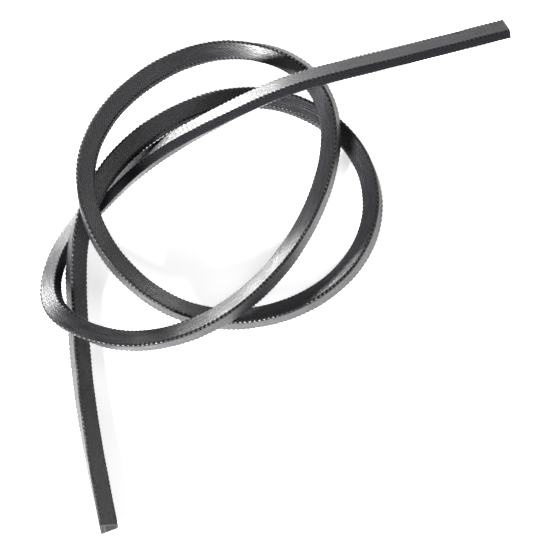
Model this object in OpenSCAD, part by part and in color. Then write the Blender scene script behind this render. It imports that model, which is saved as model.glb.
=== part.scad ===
// Open-ended wrapped narrow V-belt, lying in loose interlaced loops on a flat surface.
// Origin: middle of the belt's box in plan, on the surface that it lies on.

/* [Belt section] */
// Width over the wide face
top_w = 9.7; // [8:0.1:12]
// Height from the narrow face to the wide face
belt_h = 8; // [6.6:0.1:9.6]
// Included angle between the two flanks
flank_angle = 40; // [34:1:42]
// Radius that the outer ply is bent to at the corners
corner_r = 1; // [0.9:0.1:1.4]

/* [Woven jacket] */
// Thickness of one ply of rubbered fabric
ply_t = 0.4; // [0.3:0.05:0.5]

/* [Tensile layer] */
// Diameter of one tensile cord
cord_d = 0.8; // [0.6:0.05:1]
// Depth of the cords' middles below the wide face
cord_depth = 2.1; // [1.8:0.05:2.6]
// Thickness of each cushion sheet, from the cords' middles to the next layer
cushion_t = 0.7; // [0.55:0.05:0.85]
// Rubber between an end cord and the jacket
edge_gap = 0.25; // [0.1:0.05:0.4]

/* [Lay] */
// Air left between two strands where they cross
strand_gap = 0.2; // [0.1:0.1:1]
// How much taller than its own height a strand stands when it lies rolled onto a corner
roll_room = 1.7; // [1.5:0.1:3]

/* [Hidden] */

// One strand's room, over or beside another
strand_step = max(top_w, belt_h + roll_room) + strand_gap;

// Route of the belt's middle from one cut end to the other, as the control points of a
// smooth curve: x, y, lift off the surface in strands, and roll about the route.
// At roll 0 the belt lies on a flank with its wide face outwards; more turns that face down.
route = [
    // First end, sloping up over two other strands and down to the left
    [103, 110, 0, 50], [53, 93.5, 1.1, 52], [27, 85, 1.8, 54], [2, 77.7, 1.9, 56],
    [-26, 65.3, 1.3, 58], [-56.5, 51, 0.5, 75], [-80, 28, 0, 64],
    // Small left loop, over the far tail
    [-94, 10, 0, 60], [-99, -10, 0.1, 60], [-94, -25, 1.3, 20], [-71, -35, 1.1, 0],
    // Up the right side of the middle loop
    [-45, -33, 1.1, -5], [-20, -21, 1.1, -15], [-1, -2, 0.5, -22], [12, 17, 0.3, -14],
    [22, 39, 0.6, -10], [26, 62, 1, -12], [20, 84, 0.9, -24],
    // Over the top of the middle loop and down its left side
    [0, 100, 0.5, -28], [-29, 102, 0.3, 0], [-56, 89, 0.4, 10], [-76, 67, 1.3, 12],
    [-85, 41, 2.1, 5], [-80, 14, 2.3, -5], [-66, -4, 1.3, -5],
    // Round the right loop, on the surface
    [-47, -17, 0.4, -5], [-22, -23, 0, -5], [8, -18, 0, -8], [34, 0, 0, -15],
    [46, 28, 0, -14], [38, 57, 0, -5], [15, 75, 0, 5],
    // Back along the first strand, a strand's room outside it, under the middle loop, and out
    // to the second end
    [-11, 81, 0, 2],
    [-31.25 - 0.409 * strand_step, 65.66 + 0.913 * strand_step, 0.2, 16],
    [-54.94 - 0.663 * strand_step, 50.99 + 0.749 * strand_step, 0.6, 19],
    [-79, 36, 1.1, 0], [-87, 12, 1.35, -18], [-87, -15, 0.1, -22], [-83, -62, 0, -14],
    [-72, -115, 0, 0]];
ring_count = 66;
cord_count = 5;
cord_sides = 6;

half_angle = flank_angle / 2;
jacket_t = 2 * ply_t;
least_r = 0.1;
core_r = max(corner_r - jacket_t, least_r);
cord_level = belt_h / 2 - cord_depth;
cushion_top = cord_level + cushion_t;
cushion_bottom = cord_level - cushion_t;
cord_row_w = 2 * half_width(cord_level, jacket_t) - 2 * edge_gap - cord_d;
cord_pitch = cord_row_w / (cord_count - 1);
last_step = len(route) - 1;
tangent_reach = 0.05;

// ---- Section of the belt: [towards the wide face, across the belt] ----

function half_width(level, inset) =
    top_w / 2 - (belt_h / 2 - level) * tan(half_angle) - inset / cos(half_angle);

// Where a rounded corner meets the flank, next to the wide and to the narrow face
function wide_bend(r) = r / tan((90 - half_angle) / 2);
function narrow_bend(r) = r / tan((90 + half_angle) / 2);
function flank_top(inset, r) =
    let (a = belt_h / 2 - inset, bend = wide_bend(r))
    [a - bend * cos(half_angle), half_width(a, inset) - bend * sin(half_angle)];
function flank_bottom(inset, r) =
    let (a = inset - belt_h / 2, bend = narrow_bend(r))
    [a + bend * cos(half_angle), half_width(a, inset) + bend * sin(half_angle)];

// The flank is split where the core's layers meet it, so that every ply and layer
// shares its points with its neighbours
layer_levels = [cushion_top, cord_level, cushion_bottom];
core_top = flank_top(jacket_t, core_r);
core_bottom = flank_bottom(jacket_t, core_r);
function layer_share(level) = (core_top[0] - level) / (core_top[0] - core_bottom[0]);

// One side of an outline, from the wide face round to the narrow face
function side_points(inset, r) =
    let (a = belt_h / 2 - inset, top = flank_top(inset, r), bottom = flank_bottom(inset, r))
    concat(
        [[a, half_width(a, inset) - wide_bend(r)], top],
        [for (level = layer_levels) top + (bottom - top) * layer_share(level)],
        [bottom, [-a, half_width(-a, inset) - narrow_bend(r)]]);
function other_side(points) =
    [for (i = [len(points) - 1 : -1 : 0]) [points[i][0], -points[i][1]]];
function both_sides(points) = concat(points, other_side(points));
function picked(points, first, last) = [for (i = [first : last]) points[i]];

outer_outline = both_sides(side_points(0, corner_r));
middle_outline = both_sides(side_points(ply_t, corner_r - ply_t));
core_side = side_points(jacket_t, core_r);
core_outline = both_sides(core_side);

function cord_place(number) = (number - (cord_count + 1) / 2) * cord_pitch;
// Part of a cord's outline, counted in its own corners from the plane of the cords
function cord_points(number, first, step, last) =
    [for (i = [first : step : last])
        let (angle = i * 360 / cord_sides)
        [cord_level + cord_d / 2 * sin(angle), cord_place(number) + cord_d / 2 * cos(angle)]];
upper_grooves = [for (n = [cord_count : -1 : 1]) each cord_points(n, 0, 1, cord_sides / 2)];
lower_grooves = [for (n = [1 : cord_count]) each cord_points(n, cord_sides / 2, 1, cord_sides)];

// ---- Route: a uniform cubic B-spline through the control points ----

function control(i) =
    i < 0 ? 2 * route[0] - route[1]
    : i > last_step ? 2 * route[last_step] - route[last_step - 1]
    : route[i];
function along(t) =
    let (i = min(floor(t), last_step - 1), f = t - i)
    (pow(1 - f, 3) * control(i - 1) + (3 * pow(f, 3) - 6 * f * f + 4) * control(i)
    + (-3 * pow(f, 3) + 3 * f * f + 3 * f + 1) * control(i + 1) + pow(f, 3) * control(i + 2)) / 6;

// Height of the belt's middle above its lowest corner, at a roll
function rest_height(roll) = max([for (p = outer_outline) p[0] * sin(roll) - p[1] * cos(roll)]);
function middle(t) =
    let (p = along(t))
    [p[0], p[1], p[2] * strand_step + rest_height(p[3])];
function unit(v) = v / norm(v);
function tangent(t) =
    unit(middle(min(t + tangent_reach, last_step)) - middle(max(t - tangent_reach, 0)));

// Ring of points where an outline stands across the route at t
function ring(t, outline) =
    let (
        here = middle(t),
        forward = tangent(t),
        level_out = unit(cross(forward, [0, 0, 1])),
        level_up = cross(level_out, forward),
        roll = along(t)[3],
        to_wide = level_out * cos(roll) - level_up * sin(roll),
        across = level_up * cos(roll) + level_out * sin(roll))
    [for (p = outline) here + p[0] * to_wide + p[1] * across];
stations = [for (i = [0 : ring_count - 1]) i * last_step / (ring_count - 1)];
function rings(outline) = [for (t = stations) each ring(t, outline)];

outer_points = rings(outer_outline);
function middle_of(axis) =
    let (values = [for (p = outer_points) p[axis]])
    (min(values) + max(values)) / 2;
lay_origin = [middle_of(0), middle_of(1), min([for (p = outer_points) p[2]])];

// ---- Sweeping ----

// Two faces that touch are cut into triangles along the same diagonals: each starts at
// the edge's end that lies further to one side, whichever way round the outline runs
nearly_nil = 0.00001;
function starts_here(p, q) =
    abs(p[1] - q[1]) > nearly_nil ? p[1] < q[1] : p[0] < q[0];
function skin_faces(outline, first = 0) =
    let (n = len(outline))
    [for (i = [0 : ring_count - 2], k = [0 : n - 1])
        let (
            next = (k + 1) % n,
            a = first + i * n + k, b = first + i * n + next,
            c = b + n, d = a + n)
        each (starts_here(outline[k], outline[next]) ? [[a, b, c], [a, c, d]] : [[a, b, d], [b, c, d]])];
function turned(faces) = [for (f = faces) [f[2], f[1], f[0]]];

// Solid layer of the core
module swept(outline) {
    n = len(outline);
    first_cap = [for (k = [n - 1 : -1 : 0]) k];
    last_cap = [for (k = [0 : n - 1]) (ring_count - 1) * n + k];
    translate(-lay_origin)
        polyhedron(rings(outline), concat(skin_faces(outline), [first_cap, last_cap]));
}

// Ply between two outlines with the same number of points, open at both cut ends
module swept_ply(outside, inside) {
    n = len(outside);
    inner_first = ring_count * n;
    last_ring = (ring_count - 1) * n;
    cut_faces = [for (k = [0 : n - 1])
        let (next = (k + 1) % n)
        each [[k, inner_first + k, inner_first + next], [k, inner_first + next, next]]];
    far_faces = [for (f = turned(cut_faces)) [for (i = f) i + last_ring]];
    translate(-lay_origin)
        polyhedron(
            concat(rings(outside), rings(inside)),
            concat(skin_faces(outside), turned(skin_faces(inside, inner_first)), cut_faces, far_faces));
}

// ---- Pieces, from the outside in ----

module cover_outer_ply() {
    color([0.27, 0.27, 0.29]) swept_ply(outer_outline, middle_outline);
}

module cover_inner_ply() {
    color([0.2, 0.2, 0.21]) swept_ply(middle_outline, core_outline);
}

module top_rubber() {
    color([0.1, 0.1, 0.11]) swept(both_sides(picked(core_side, 0, 2)));
}

module upper_cushion() {
    flank = picked(core_side, 2, 3);
    color([0.16, 0.13, 0.11]) swept(concat(flank, upper_grooves, other_side(flank)));
}

module lower_cushion() {
    flank = picked(core_side, 3, 4);
    color([0.14, 0.11, 0.1]) swept(concat(both_sides(flank), lower_grooves));
}

module tensile_cord(number) {
    color([0.86, 0.83, 0.74]) swept(cord_points(number, cord_sides, -1, 1));
}

module compression_rubber() {
    color([0.08, 0.08, 0.09]) swept(both_sides(picked(core_side, 4, 6)));
}

cover_outer_ply();
cover_inner_ply();
top_rubber();
upper_cushion();
lower_cushion();
tensile_cord(1);  // tensile_cord_1
tensile_cord(2);  // tensile_cord_2
tensile_cord(3);  // tensile_cord_3
tensile_cord(4);  // tensile_cord_4
tensile_cord(5);  // tensile_cord_5
compression_rubber();
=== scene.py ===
import math

import bpy
import numpy as np
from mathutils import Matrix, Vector


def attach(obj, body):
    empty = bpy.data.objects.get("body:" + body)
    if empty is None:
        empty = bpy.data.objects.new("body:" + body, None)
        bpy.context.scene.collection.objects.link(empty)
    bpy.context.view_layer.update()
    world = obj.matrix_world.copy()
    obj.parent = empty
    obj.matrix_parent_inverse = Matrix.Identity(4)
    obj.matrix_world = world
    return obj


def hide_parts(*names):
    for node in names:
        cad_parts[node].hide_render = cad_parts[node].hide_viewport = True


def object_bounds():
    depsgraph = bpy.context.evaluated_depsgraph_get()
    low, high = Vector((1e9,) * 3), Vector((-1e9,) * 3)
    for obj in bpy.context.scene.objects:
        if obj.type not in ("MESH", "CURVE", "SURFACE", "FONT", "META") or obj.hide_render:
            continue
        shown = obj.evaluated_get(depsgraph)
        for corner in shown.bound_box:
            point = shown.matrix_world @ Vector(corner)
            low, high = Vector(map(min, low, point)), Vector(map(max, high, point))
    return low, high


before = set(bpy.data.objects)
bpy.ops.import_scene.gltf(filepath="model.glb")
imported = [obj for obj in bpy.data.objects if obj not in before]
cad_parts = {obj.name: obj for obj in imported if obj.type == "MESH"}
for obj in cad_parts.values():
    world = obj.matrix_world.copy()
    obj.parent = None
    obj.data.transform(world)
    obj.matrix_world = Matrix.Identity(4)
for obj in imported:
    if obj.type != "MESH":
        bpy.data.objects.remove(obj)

cad_low, cad_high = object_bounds()

# ---- Camera -----------------------------------------------------------------------------
# A long lens looks down steeply on the lay from its near side, level from left to right.
# It is aimed at the point that the route is measured from.
ELEVATION = math.radians(75.6)
VIEW_WIDTH = 0.242
CAMERA_DISTANCE = 2.4
SENSOR = 36
aim = Vector((-0.0009, 0.0003, 0.0))
bpy.ops.object.camera_add(
    location=aim + CAMERA_DISTANCE * Vector((0, -math.cos(ELEVATION), math.sin(ELEVATION))),
    rotation=(math.pi / 2 - ELEVATION, 0, 0),
)
camera = bpy.context.object
camera.data.sensor_width = SENSOR
camera.data.lens = SENSOR * CAMERA_DISTANCE / VIEW_WIDTH
bpy.context.scene.camera = camera

# ---- Outer jacket ply -------------------------------------------------------------------
# The belt's skin: one turn of rubbered cotton and polyester fabric, cut on the bias, wrapped
# round the core and cured on it. Its yarns cross the corners as rows of small scallops.
TOP_W = 0.0097
BELT_H = 0.008
HALF_ANGLE = math.radians(20)
CORNER_R = 0.001
PLY_T = 0.0004
STRAND_GAP = 0.0002
ROLL_ROOM = 0.0017
STRAND_STEP = max(TOP_W, BELT_H + ROLL_ROOM) + STRAND_GAP

# Route of the belt's middle: x, y, lift off the surface in strands, and roll in degrees
route = np.array([
    # First end, sloping up over two other strands and down to the left
    (0.103, 0.110, 0, 50), (0.053, 0.0935, 1.1, 52), (0.027, 0.085, 1.8, 54),
    (0.002, 0.0777, 1.9, 56), (-0.026, 0.0653, 1.3, 58), (-0.0565, 0.051, 0.5, 75),
    (-0.080, 0.028, 0, 64),
    # Small left loop, over the far tail
    (-0.094, 0.010, 0, 60), (-0.099, -0.010, 0.1, 60), (-0.094, -0.025, 1.3, 20),
    (-0.071, -0.035, 1.1, 0),
    # Up the right side of the middle loop
    (-0.045, -0.033, 1.1, -5), (-0.020, -0.021, 1.1, -15), (-0.001, -0.002, 0.5, -22),
    (0.012, 0.017, 0.3, -14), (0.022, 0.039, 0.6, -10), (0.026, 0.062, 1, -12),
    (0.020, 0.084, 0.9, -24),
    # Over the top of the middle loop and down its left side
    (0, 0.100, 0.5, -28), (-0.029, 0.102, 0.3, 0), (-0.056, 0.089, 0.4, 10),
    (-0.076, 0.067, 1.3, 12), (-0.085, 0.041, 2.1, 5), (-0.080, 0.014, 2.3, -5),
    (-0.066, -0.004, 1.3, -5),
    # Round the right loop, on the surface
    (-0.047, -0.017, 0.4, -5), (-0.022, -0.023, 0, -5), (0.008, -0.018, 0, -8),
    (0.034, 0, 0, -15), (0.046, 0.028, 0, -14), (0.038, 0.057, 0, -5), (0.015, 0.075, 0, 5),
    # Back along the first strand, a strand's room outside it, under the middle loop, and out
    # to the second end
    (-0.011, 0.081, 0, 2),
    (-0.03125 - 0.409 * STRAND_STEP, 0.06566 + 0.913 * STRAND_STEP, 0.2, 16),
    (-0.05494 - 0.663 * STRAND_STEP, 0.05099 + 0.749 * STRAND_STEP, 0.6, 19),
    (-0.079, 0.036, 1.1, 0), (-0.087, 0.012, 1.35, -18), (-0.087, -0.015, 0.1, -22),
    (-0.083, -0.062, 0, -14), (-0.072, -0.115, 0, 0),
])
LAST_STEP = len(route) - 1


def half_width(level, inset):
    """Half the section's width at a level above its middle, some way inside its skin."""
    return TOP_W / 2 - (BELT_H / 2 - level) * math.tan(HALF_ANGLE) - inset / math.cos(HALF_ANGLE)


def arc(centre, radius, first, last, steps):
    """Points and outward directions of a rounded corner, as rows of four numbers."""
    turn = np.linspace(first, last, steps + 1)
    out = np.stack([np.sin(turn), np.cos(turn)], axis=1)
    return np.hstack([np.array(centre) + radius * out, out])


def straight(start, end, shares):
    """Points at these shares of the way between two rows of an outline."""
    return start + (end - start) * np.array(shares).reshape(-1, 1)


def outline(inset, radius, corner_steps, face_shares):
    """Rounded section: rows of (towards the wide face, across, and the outward direction)."""
    wide = BELT_H / 2 - inset
    wide_back = radius / math.tan((math.pi / 2 - HALF_ANGLE) / 2)
    narrow_back = radius / math.tan((math.pi / 2 + HALF_ANGLE) / 2)
    wide_corner = arc((wide - radius, half_width(wide, inset) - wide_back), radius,
                      math.pi / 2, -HALF_ANGLE, corner_steps)
    narrow_corner = arc((radius - wide, half_width(-wide, inset) - narrow_back), radius,
                        -HALF_ANGLE, -math.pi / 2, corner_steps)
    wide_shares, flank_shares, narrow_shares = face_shares
    side = np.vstack([wide_corner, straight(wide_corner[-1], narrow_corner[0], flank_shares),
                      narrow_corner])
    other = side[::-1] * np.array([1, -1, 1, -1])
    return np.vstack([side, straight(side[-1], other[0], narrow_shares), other,
                      straight(other[-1], side[0], wide_shares)])


bearing_outline = outline(0, CORNER_R, 6, ((), (), ()))


def along(t):
    """The route as a smooth curve: x, y, lift and roll at t, counted in route points."""
    rows = np.vstack([2 * route[0] - route[1], route, 2 * route[-1] - route[-2]])
    i = np.minimum(t.astype(int), LAST_STEP - 1)
    f = (t - i)[:, None]
    return ((1 - f) ** 3 * rows[i] + (3 * f ** 3 - 6 * f ** 2 + 4) * rows[i + 1]
            + (-3 * f ** 3 + 3 * f ** 2 + 3 * f + 1) * rows[i + 2] + f ** 3 * rows[i + 3]) / 6


def middle(t):
    """The middle of the section at t: its lowest corner is the lift above the surface."""
    x, y, lift, roll = along(t).T
    roll = np.radians(roll)[:, None]
    rest = (bearing_outline[:, 0] * np.sin(roll) - bearing_outline[:, 1] * np.cos(roll)).max(axis=1)
    return np.stack([x, y, lift * STRAND_STEP + rest], axis=1)


def unit(rows):
    """Each row brought to a length of 1."""
    return rows / np.linalg.norm(rows, axis=1)[:, None]


def directions(t):
    """Forward, towards the wide face, and across the belt, at each t."""
    reach = 0.05
    forward = unit(middle(np.minimum(t + reach, LAST_STEP)) - middle(np.maximum(t - reach, 0)))
    level_out = unit(np.cross(forward, (0, 0, 1)))
    level_up = np.cross(level_out, forward)
    roll = np.radians(along(t)[:, 3])[:, None]
    to_wide = level_out * np.cos(roll) - level_up * np.sin(roll)
    across = level_up * np.cos(roll) + level_out * np.sin(roll)
    return forward, to_wide, across


fine_t = np.linspace(0, LAST_STEP, 6000)
fine_steps = np.linalg.norm(np.diff(middle(fine_t), axis=0), axis=1)
fine_length = np.concatenate([[0], np.cumsum(fine_steps)])
belt_length = fine_length[-1]


def places(spacing):
    """Distances along the belt at an even spacing, and the route's t at each."""
    run = np.linspace(0, belt_length, round(belt_length / spacing) + 1)
    return run, np.interp(run, fine_length, fine_t)


# The two cuts aren't quite square: the blade leaned, so the underside is left longer
CUT_LEAN = (math.tan(math.radians(3)), math.tan(math.radians(12)))
CUT_REACH = 0.004


def sweep(points, run, t, proud=0):
    """Rows of swept points. points has one outline for all rings, or one for each ring."""
    forward, to_wide, across = directions(t)
    shape = (len(t), points.shape[-2])
    a = np.broadcast_to(points[..., 0], shape)
    c = np.broadcast_to(points[..., 1], shape)
    start = np.clip(1 - run / CUT_REACH, 0, 1) * CUT_LEAN[0]
    finish = np.clip(1 - (belt_length - run) / CUT_REACH, 0, 1) * CUT_LEAN[1]
    lean = (start - finish)[:, None] * c
    lean[0] -= proud
    lean[-1] += proud
    return (middle(t)[:, None] + a[..., None] * to_wide[:, None] + c[..., None] * across[:, None]
            + lean[..., None] * forward[:, None])


def tube_faces(rings, count, first=0, inside_out=False):
    """Quads between neighbouring rings of a swept skin."""
    i, k = np.meshgrid(np.arange(rings - 1), np.arange(count), indexing="ij")
    near, after = first + i * count, (k + 1) % count
    quads = np.stack([near + k, near + count + k, near + count + after, near + after], axis=-1)
    quads = quads.reshape(-1, 4)
    return quads[:, ::-1] if inside_out else quads


def add_piece(name, vertices, faces):
    """A mesh piece in the belt's own place, shaded smooth but for its cut edges."""
    mesh = bpy.data.meshes.new(name)
    mesh.from_pydata((vertices.reshape(-1, 3) + lay_shift).tolist(), [], faces)
    piece = bpy.data.objects.new(name, mesh)
    bpy.context.collection.objects.link(piece)
    bpy.ops.object.select_all(action="DESELECT")
    piece.select_set(True)
    bpy.context.view_layer.objects.active = piece
    bpy.ops.object.shade_smooth_by_angle(angle=math.radians(50))
    return piece


def girth_of(rows):
    """Distance round an outline to each of its points, and once more for the whole way."""
    steps = np.linalg.norm(np.diff(rows[:, :2], axis=0, append=rows[:1, :2]), axis=1)
    return np.concatenate([[0], np.cumsum(steps)])


def unroll(piece, count, run, girth):
    """UV map of a skin: U is the distance along the belt and V round it, in centimetres."""
    corners = np.empty(len(piece.data.loops), dtype=int)
    piece.data.loops.foreach_get("vertex_index", corners)
    corners = corners.reshape(-1, 4)
    around = corners % count
    closing = (around == count - 1).any(axis=1)[:, None] & (around == 0)
    v = girth[np.where(closing, count, around)]
    values = np.stack([run[corners // count], v], axis=-1) * 100
    piece.data.uv_layers.new(name="unrolled").data.foreach_set("uv", values.ravel())


def add_ply(name, outside, spacing, inside, inside_spacing):
    """A ply of fabric: a skin outside, a plainer one inside, and a cut rim at each end."""
    run_out, t_out = places(spacing)
    run_in, t_in = places(inside_spacing)
    count = inside.shape[-2]
    points = np.vstack([sweep(outside, run_out, t_out).reshape(-1, 3),
                        sweep(inside, run_in, t_in).reshape(-1, 3)])
    first_in = len(run_out) * count
    last_out, last_in = first_in - count, len(points) - count
    here = np.arange(count)
    after = (here + 1) % count
    rim = np.stack([after, first_in + after, first_in + here, here], axis=1)
    far_rim = np.stack([last_out + here, last_in + here, last_in + after, last_out + after], axis=1)
    faces = np.vstack([tube_faces(len(run_out), count),
                       tube_faces(len(run_in), count, first_in, inside_out=True), rim, far_rim])
    ply = add_piece(name, points, faces.tolist())
    unroll(ply, count, np.concatenate([run_out, run_in]), girth_of(inside))
    rim_faces = np.zeros(len(faces), dtype=int)
    rim_faces[-2 * count:] = 1
    ply.data.materials.append(None)
    ply.data.materials.append(None)
    ply.data.polygons.foreach_set("material_index", rim_faces)
    return ply


# The lay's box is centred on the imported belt's box, on the same surface
coarse_run, coarse_t = places(0.002)
coarse = sweep(bearing_outline[:, :2], coarse_run, coarse_t).reshape(-1, 3)
coarse_low, coarse_high = coarse.min(axis=0), coarse.max(axis=0)
lay_shift = (np.array(cad_low + cad_high) - coarse_low - coarse_high) / 2
lay_shift[2] = cad_low.z - coarse_low[2]

# Skin: many rings, each raised where a yarn crosses a corner, and few where it never shows
RING_SPACING = 0.0004
HIDDEN_SPACING = 0.01
SCALLOP_PITCH = 0.002
SCALLOP_HEIGHT = 0.00032
CORNER_STEPS = 4
FACE_SHARES = ((0.05, 0.33, 0.67, 0.95), (0.05, 0.33, 0.67, 0.95), (0.12, 0.88))
skin = outline(0, CORNER_R, CORNER_STEPS, FACE_SHARES)
skin_run, skin_t = places(RING_SPACING)

# How far a point is onto a corner: 1 in the middle of each rounded corner and 0 on a face
out_a, out_c = skin[:, 2], np.abs(skin[:, 3])
facing = np.stack([out_a, -out_a, out_c * math.cos(HALF_ANGLE) - out_a * math.sin(HALF_ANGLE)])
on_corner = np.clip((1 - facing.max(axis=0)) / 0.07, 0, 1)
corner_number = np.sign(skin[:, 1]) + 2 * (skin[:, 0] > 0)

# The scallops wander a little out of step and in height, and each corner has its own run
distance = skin_run[:, None]
wander = 0.35 * np.sin(distance / 0.0061) + 0.25 * np.sin(distance / 0.0023 + 1)
beat = 2 * math.pi * distance / SCALLOP_PITCH + wander + 1.7 * corner_number
tuft = 0.75 + 0.25 * np.sin(distance / 0.0047 + 2.1 * corner_number)
relief = SCALLOP_HEIGHT * on_corner * tuft * (2 * np.abs(np.cos(beat / 2)) - 1)
dents = 0.00003 * np.sin(distance / 0.0029 + 3 * corner_number)
skin_rings = skin[None, :, :2] + (relief + dents)[..., None] * skin[None, :, 2:]
under_skin = outline(PLY_T, CORNER_R - PLY_T, CORNER_STEPS, FACE_SHARES)[:, :2]
jacket = add_ply("jacket_outer_ply", skin_rings, RING_SPACING, under_skin, HIDDEN_SPACING)


def paint(name, values):
    """Stores values of the skin's points with the jacket, for its material to read."""
    padded = np.zeros(len(jacket.data.vertices))
    padded[:values.size] = values.ravel()
    jacket.data.attributes.new(name, "FLOAT", "POINT").data.foreach_set("value", padded)


# The relief again, from -1 in a notch to 1 on a crown, which the material turns into painted shade in
# the notches and painted light on the crowns, and how well the mould pressed the fabric: fully on the
# flanks, less on the wide face and at the corners, and hardly on the narrow face
paint("tufted", relief / SCALLOP_HEIGHT)
pressing = 1 - np.clip((-out_a - 0.4) / 0.4, 0, 1) - 0.3 * np.clip(out_a, 0, 1)
pressing *= 1 - 0.7 * on_corner
paint("pressed", np.broadcast_to(pressing, relief.shape))


def node(tree, kind, inputs=None, **settings):
    """Adds a shader node, sets it, and wires or sets its inputs."""
    made = tree.nodes.new(kind)
    for name, value in settings.items():
        setattr(made, name, value)
    for key, value in (inputs or {}).items():
        if isinstance(value, bpy.types.NodeSocket):
            tree.links.new(value, made.inputs[key])
        else:
            made.inputs[key].default_value = value
    return made


def maths(tree, operation, *values):
    """A maths node's result, from sockets or numbers."""
    return node(tree, "ShaderNodeMath", dict(enumerate(values)), operation=operation).outputs[0]


def bias_weave():
    """Group: plain weave of rubbered yarns at the same angle either side of the length."""
    group = bpy.data.node_groups.new("bias weave", "ShaderNodeTree")
    group.interface.new_socket("Unrolled", in_out="INPUT", socket_type="NodeSocketVector")
    pitch = group.interface.new_socket("Pitch", in_out="INPUT", socket_type="NodeSocketFloat")
    pitch.default_value = 0.1
    for name in ("Height", "Fleck", "Streak"):
        group.interface.new_socket(name, in_out="OUTPUT", socket_type="NodeSocketFloat")
    given = group.nodes.new("NodeGroupInput")
    result = group.nodes.new("NodeGroupOutput")
    split = node(group, "ShaderNodeSeparateXYZ", {0: given.outputs["Unrolled"]})
    lengthways = maths(group, "MULTIPLY", split.outputs["X"], 0.5)
    roundways = maths(group, "MULTIPLY", split.outputs["Y"], 0.866)
    yarns = []
    for operation in ("ADD", "SUBTRACT"):
        offset = maths(group, operation, lengthways, roundways)
        turns = maths(group, "DIVIDE", offset, given.outputs["Pitch"])
        yarns.append(maths(group, "SINE", maths(group, "MULTIPLY", turns, math.pi)))
    crown_a = maths(group, "ABSOLUTE", yarns[0])
    crown_b = maths(group, "ABSOLUTE", yarns[1])
    over = maths(group, "GREATER_THAN", maths(group, "MULTIPLY", yarns[0], yarns[1]), 0)
    height = node(group, "ShaderNodeMix", {"Factor": over, "A": crown_a, "B": crown_b})
    group.links.new(height.outputs["Result"], result.inputs["Height"])
    fleck = node(group, "ShaderNodeTexNoise", {"Vector": given.outputs["Unrolled"], "Scale": 12,
                                              "Detail": 4, "Roughness": 0.8})
    group.links.new(fleck.outputs["Fac"], result.inputs["Fleck"])
    drawn = node(group, "ShaderNodeMapping", {"Vector": given.outputs["Unrolled"],
                                             "Scale": (1.1, 13, 1)})
    streak = node(group, "ShaderNodeTexNoise", {"Vector": drawn.outputs[0], "Scale": 1,
                                               "Detail": 3, "Roughness": 0.6})
    group.links.new(streak.outputs["Fac"], result.inputs["Streak"])
    return group


def new_material(name):
    """A material with an empty tree but for its surface shader and output."""
    material = bpy.data.materials.new(name)
    material.use_nodes = True
    return material, material.node_tree, material.node_tree.nodes["Principled BSDF"]


weave = bias_weave()


def jacket_fabric():
    """Charcoal rubbered fabric: satin where the mould pressed it, flecked at random, with painted
    shade in the weave's valleys and the scallops' notches and painted light on the scallops' crowns.
    """
    material, tree, surface = new_material("jacket fabric")
    unrolled = node(tree, "ShaderNodeUVMap", uv_map="unrolled")
    woven = node(tree, "ShaderNodeGroup", {"Unrolled": unrolled.outputs[0], "Pitch": 0.1},
                 node_tree=weave)
    fleck = node(tree, "ShaderNodeMapRange", {"Value": woven.outputs["Fleck"], "From Min": 0.3,
                                             "From Max": 0.7, "To Min": 0.05, "To Max": 1.1})
    # Painted shade: the weave's height, times the random fleck, darkens the colour in the valleys
    # between the yarns
    crown = maths(tree, "MULTIPLY", woven.outputs["Height"], fleck.outputs[0])
    tufted = node(tree, "ShaderNodeAttribute", attribute_name="tufted")
    # Painted shade in the scallops' notches and painted light on their crowns: the relief scales the
    # colour from a tenth in a notch to 1.3 on a crown
    painted_notch_shade = node(tree, "ShaderNodeMapRange", {"Value": tufted.outputs["Fac"], "From Min": -0.7,
                                             "From Max": 0.6, "To Min": 0.1, "To Max": 1.3})
    lit = maths(tree, "MULTIPLY", crown, painted_notch_shade.outputs[0])
    # The scallops' crowns are painted lighter and olive, partly the yarn's own tint and partly painted
    # light; the faces and the notches keep the darker violet grey
    olive_tint_and_crown_light = node(tree, "ShaderNodeMix", {"Factor": tufted.outputs["Fac"],
                                       "A": (0.024, 0.023, 0.028, 1),
                                       "B": (0.05, 0.05, 0.038, 1)}, data_type="RGBA")
    # Painted shade and light: the colour runs from near-black in the weave's valleys and the scallops'
    # notches to the crown colour on the yarns and the scallops' crowns
    tone = node(tree, "ShaderNodeMix", {"Factor": lit, "A": (0.003, 0.003, 0.004, 1),
                                       "B": olive_tint_and_crown_light.outputs[2]}, data_type="RGBA")
    tree.links.new(tone.outputs[2], surface.inputs["Base Color"])
    pressed = node(tree, "ShaderNodeAttribute", attribute_name="pressed")
    sheen = node(tree, "ShaderNodeMapRange", {"Value": pressed.outputs["Fac"], "To Min": 0.1,
                                             "To Max": 0.65})
    rubbed = maths(tree, "MULTIPLY_ADD", crown, 1.4, 0.45)
    tree.links.new(maths(tree, "MULTIPLY", sheen.outputs[0], rubbed),
                   surface.inputs["Specular IOR Level"])
    satin = node(tree, "ShaderNodeMapRange", {"Value": woven.outputs["Streak"], "From Min": 0.3,
                                             "From Max": 0.7, "To Min": 0.2, "To Max": 0.42})
    valley = node(tree, "ShaderNodeMapRange", {"Value": crown, "To Min": 0.14, "To Max": 0})
    tree.links.new(maths(tree, "ADD", satin.outputs[0], valley.outputs[0]),
                   surface.inputs["Roughness"])
    raised = maths(tree, "ADD", woven.outputs["Height"],
                   maths(tree, "MULTIPLY", woven.outputs["Streak"], 8))
    bump = node(tree, "ShaderNodeBump", {"Height": raised, "Strength": 0.3, "Distance": 0.0001})
    tree.links.new(bump.outputs[0], surface.inputs["Normal"])
    return material


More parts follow.
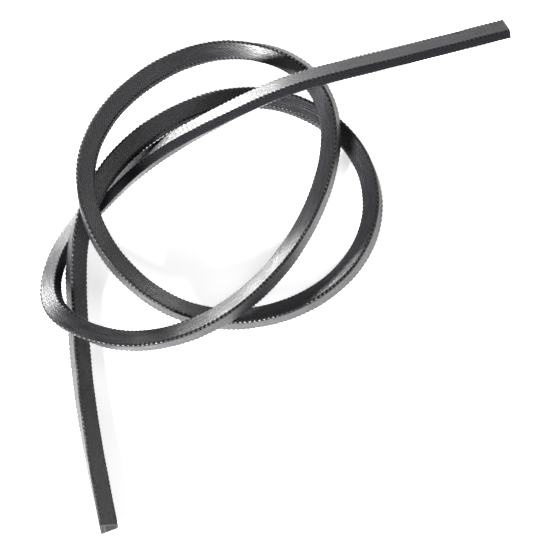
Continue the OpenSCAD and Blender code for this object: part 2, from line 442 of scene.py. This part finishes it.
def cut_fabric():
    """Cut rim of the rubbered fabric: pale chopped yarn ends in grey dust."""
    material, tree, surface = new_material("cut fabric")
    place = node(tree, "ShaderNodeTexCoord")
    ends = node(tree, "ShaderNodeTexVoronoi", {"Vector": place.outputs["Object"], "Scale": 3500})
    tone = node(tree, "ShaderNodeMapRange", {"Value": ends.outputs["Distance"], "From Min": 0.1,
                                            "From Max": 0.7, "To Min": 1, "To Max": 0})
    colour = node(tree, "ShaderNodeMix", {"Factor": tone.outputs[0], "A": (0.008, 0.008, 0.008, 1),
                                         "B": (0.08, 0.08, 0.076, 1)}, data_type="RGBA")
    tree.links.new(colour.outputs[2], surface.inputs["Base Color"])
    bump = node(tree, "ShaderNodeBump", {"Height": tone.outputs[0], "Strength": 0.8,
                                        "Distance": 0.0001})
    tree.links.new(bump.outputs[0], surface.inputs["Normal"])
    surface.inputs["Roughness"].default_value = 0.9
    surface.inputs["Specular IOR Level"].default_value = 0.15
    return material


cut_rim = cut_fabric()
fabric = jacket_fabric()
jacket.data.materials[0] = fabric
jacket.data.materials[1] = cut_rim
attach(jacket, "root")
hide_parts("cover_outer_ply")

# ---- Inner jacket ply -------------------------------------------------------------------
# The first turn of the same fabric, under the skin. It is cured to the core and to the outer
# ply, so only its cut rim shows, at the two ends.
INNER_SPACING = 0.004
CORE_R = CORNER_R - 2 * PLY_T
core = outline(2 * PLY_T, CORE_R, CORNER_STEPS, FACE_SHARES)[:, :2]
inner_ply = add_ply("jacket_inner_ply", under_skin, INNER_SPACING, core, HIDDEN_SPACING)
inner_ply.data.materials[0] = fabric
inner_ply.data.materials[1] = cut_rim
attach(inner_ply, "root")
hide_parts("cover_inner_ply")

# ---- Tensile cords ----------------------------------------------------------------------
# Five cords side by side, each three plies of polyester yarn twisted together and dipped so
# that the cushion rubber bonds to them. The blade leaves them standing a little proud.
CORD_D = 0.0008
CORD_DEPTH = 0.0021
CUSHION_T = 0.0007
EDGE_GAP = 0.00025
CORD_COUNT = 5
TWIST_LENGTH = 0.007
CORD_PROUD = 0.0002
CORD_SPACING = 0.0009
cord_level = BELT_H / 2 - CORD_DEPTH
cord_row = 2 * half_width(cord_level, 2 * PLY_T) - 2 * EDGE_GAP - CORD_D
cord_places = np.linspace(-cord_row / 2, cord_row / 2, CORD_COUNT)


def add_layer(name, rows, spacing, proud=0):
    """A solid layer of the core, closed with a flat face at each cut."""
    run, t = places(spacing)
    count = rows.shape[-2]
    points = sweep(rows, run, t, proud)
    last = (len(run) - 1) * count
    caps = [list(range(count)), list(range(last + count - 1, last - 1, -1))]
    return add_piece(name, points, tube_faces(len(run), count).tolist() + caps)


def fine_grain():
    """Group: the speckle of fibre ends or of filler in a cut face, as a value round a half."""
    group = bpy.data.node_groups.new("fine grain", "ShaderNodeTree")
    for name in ("Scale", "Detail", "Roughness"):
        group.interface.new_socket(name, in_out="INPUT", socket_type="NodeSocketFloat")
    group.interface.new_socket("Grain", in_out="OUTPUT", socket_type="NodeSocketFloat")
    given = group.nodes.new("NodeGroupInput")
    result = group.nodes.new("NodeGroupOutput")
    place = node(group, "ShaderNodeTexCoord")
    speckle = node(group, "ShaderNodeTexNoise", {"Vector": place.outputs["Object"],
                                                "Scale": given.outputs["Scale"],
                                                "Detail": given.outputs["Detail"],
                                                "Roughness": given.outputs["Roughness"]})
    group.links.new(speckle.outputs["Fac"], result.inputs["Grain"])
    return group


grain_group = fine_grain()


def twisted_yarn():
    """Polyester yarn, dulled and darkened by its dip of rubber adhesive."""
    material, tree, surface = new_material("polyester cord")
    fibre = node(tree, "ShaderNodeGroup", {"Scale": 2600, "Detail": 4, "Roughness": 0.7},
                 node_tree=grain_group)
    colour = node(tree, "ShaderNodeMix", {"Factor": fibre.outputs["Grain"],
                                         "A": (0.015, 0.014, 0.012, 1),
                                         "B": (0.08, 0.073, 0.06, 1)}, data_type="RGBA")
    tree.links.new(colour.outputs[2], surface.inputs["Base Color"])
    bump = node(tree, "ShaderNodeBump", {"Height": fibre.outputs["Grain"], "Strength": 0.6,
                                        "Distance": 0.00008})
    tree.links.new(bump.outputs[0], surface.inputs["Normal"])
    surface.inputs["Roughness"].default_value = 0.75
    surface.inputs["Specular IOR Level"].default_value = 0.15
    return material


yarn = twisted_yarn()
cord_run = places(CORD_SPACING)[0]
round_cord = np.linspace(0, 2 * math.pi, 12, endpoint=False)
for number, place_across in enumerate(cord_places, start=1):
    turned = round_cord - 2 * math.pi * cord_run[:, None] / TWIST_LENGTH
    radius = CORD_D / 2 * (0.9 + 0.1 * np.cos(3 * turned))
    rows = np.stack([cord_level + radius * np.cos(round_cord),
                     place_across + radius * np.sin(round_cord)], axis=-1)
    cord = add_layer(f"twisted_cord_{number}", rows, CORD_SPACING, CORD_PROUD)
    cord.data.materials.append(yarn)
    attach(cord, "root")
    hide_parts(f"tensile_cord_{number}")

# ---- Rubber of the core -----------------------------------------------------------------
# Four layers cured into one: a thin stiff one under the wide face, two cushions that close
# round the cords in half-round beds, and the wedge that fills the section to the narrow face.
LAYER_SPACING = 0.003
upper, lower = cord_level + CUSHION_T, cord_level - CUSHION_T


def flank_point(level, side):
    """Where a layer's edge meets the jacket at a level, on one side of the belt."""
    return np.array([[level, side * half_width(level, 2 * PLY_T)]])


def beds(places_across, first_turn):
    """The half-round beds of the cords along a cushion's face, from one side to the other."""
    turns = first_turn + np.linspace(0, math.pi, 7)
    return np.vstack([np.stack([cord_level + CORD_D / 2 * np.sin(turns),
                                place_across + CORD_D / 2 * np.cos(turns)], axis=1)
                      for place_across in places_across])


wide_side = core[:CORNER_STEPS + 1]
narrow_start = CORNER_STEPS + 1 + len(FACE_SHARES[1])
narrow_side = core[narrow_start:narrow_start + CORNER_STEPS + 1]
mirror = np.array([1, -1])
core_layers = {
    "top_rubber": np.vstack([wide_side, flank_point(upper, 1), flank_point(upper, -1),
                             (wide_side * mirror)[::-1]]),
    "upper_cushion": np.vstack([flank_point(upper, 1), flank_point(cord_level, 1),
                                beds(cord_places[::-1], 0),
                                flank_point(cord_level, -1), flank_point(upper, -1)]),
    "lower_cushion": np.vstack([flank_point(cord_level, 1), flank_point(lower, 1),
                                flank_point(lower, -1), flank_point(cord_level, -1),
                                beds(cord_places, math.pi)]),
    "compression_rubber": np.vstack([flank_point(lower, 1), narrow_side,
                                     (narrow_side * mirror)[::-1], flank_point(lower, -1)]),
}


def rubber(name, dark, light):
    """Cured rubber compound: dull, with fine filler grain and a torn look where it is cut."""
    material, tree, surface = new_material(name)
    grain = node(tree, "ShaderNodeGroup", {"Scale": 1400, "Detail": 6, "Roughness": 0.75},
                 node_tree=grain_group)
    colour = node(tree, "ShaderNodeMix", {"Factor": grain.outputs["Grain"], "A": (*dark, 1),
                                         "B": (*light, 1)}, data_type="RGBA")
    tree.links.new(colour.outputs[2], surface.inputs["Base Color"])
    bump = node(tree, "ShaderNodeBump", {"Height": grain.outputs["Grain"], "Strength": 0.7,
                                        "Distance": 0.0002})
    tree.links.new(bump.outputs[0], surface.inputs["Normal"])
    surface.inputs["Roughness"].default_value = 0.8
    surface.inputs["Specular IOR Level"].default_value = 0.12
    return material


compounds = {
    "top_rubber": ("top_rubber", rubber("top rubber", (0.006, 0.006, 0.006), (0.025, 0.025, 0.025))),
    "upper_cushion": ("cushion_rubber",
                      rubber("cushion rubber", (0.008, 0.007, 0.006), (0.035, 0.03, 0.027))),
    "compression_rubber": ("compression_rubber",
                           rubber("compression rubber", (0.004, 0.004, 0.004), (0.018, 0.018, 0.018))),
}
compounds["lower_cushion"] = compounds["upper_cushion"]
for name, rows in core_layers.items():
    slot_name, material = compounds[name]
    layer = add_layer(f"core_{name}", rows, LAYER_SPACING)
    layer.data.materials.append(material)
    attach(layer, "root")
    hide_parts(name)

# ---- Floor and light --------------------------------------------------------------------
# A white light table that glows evenly, so that the lay casts hardly any shadow. Small low
# softboxes at the far left and the near left rake the strands, and large dim ones fill them.
# The table is a little below the belt's box, to clear the lowest scallops.
FLOOR_DROP = 0.0004
bpy.ops.object.select_all(action="DESELECT")
bpy.ops.mesh.primitive_plane_add(size=6, location=(0, 0, cad_low.z - FLOOR_DROP))
floor = bpy.context.object
floor.name = "table_top"
floor_material, floor_tree, floor_surface = new_material("white table")
floor_surface.inputs["Base Color"].default_value = (0.9, 0.9, 0.9, 1)
floor_surface.inputs["Roughness"].default_value = 0.8
floor_surface.inputs["Emission Color"].default_value = (1, 1, 1, 1)
floor_surface.inputs["Emission Strength"].default_value = 0.6
floor.data.materials.append(floor_material)


LIGHT_DISTANCE = 1.3


def softbox(azimuth, elevation, size, power):
    """A rectangular light that faces the lay: azimuth 0 is behind it and 90 at its right."""
    turn, rise = math.radians(azimuth), math.radians(elevation)
    way = Vector((math.sin(turn) * math.cos(rise), math.cos(turn) * math.cos(rise), math.sin(rise)))
    bpy.ops.object.light_add(type="AREA", location=way * LIGHT_DISTANCE)
    light = bpy.context.object
    light.rotation_euler = (-way).to_track_quat("-Z", "Y").to_euler()
    light.data.shape = "RECTANGLE"
    light.data.size, light.data.size_y = size
    light.data.energy = power


softbox(-34, 8, (0.3, 0.3), 54)
softbox(-148, 20, (0.24, 0.24), 84)
softbox(75, 55, (0.7, 0.6), 3)
softbox(40, 15, (0.6, 0.4), 7)
softbox(150, 20, (0.5, 0.4), 4)

world = bpy.data.worlds.new("studio")
world.use_nodes = True
world.node_tree.nodes["Background"].inputs[0].default_value = (1, 1, 1, 1)
world.node_tree.nodes["Background"].inputs[1].default_value = 0.17
bpy.context.scene.world = world
bpy.context.scene.view_settings.view_transform = "Standard"
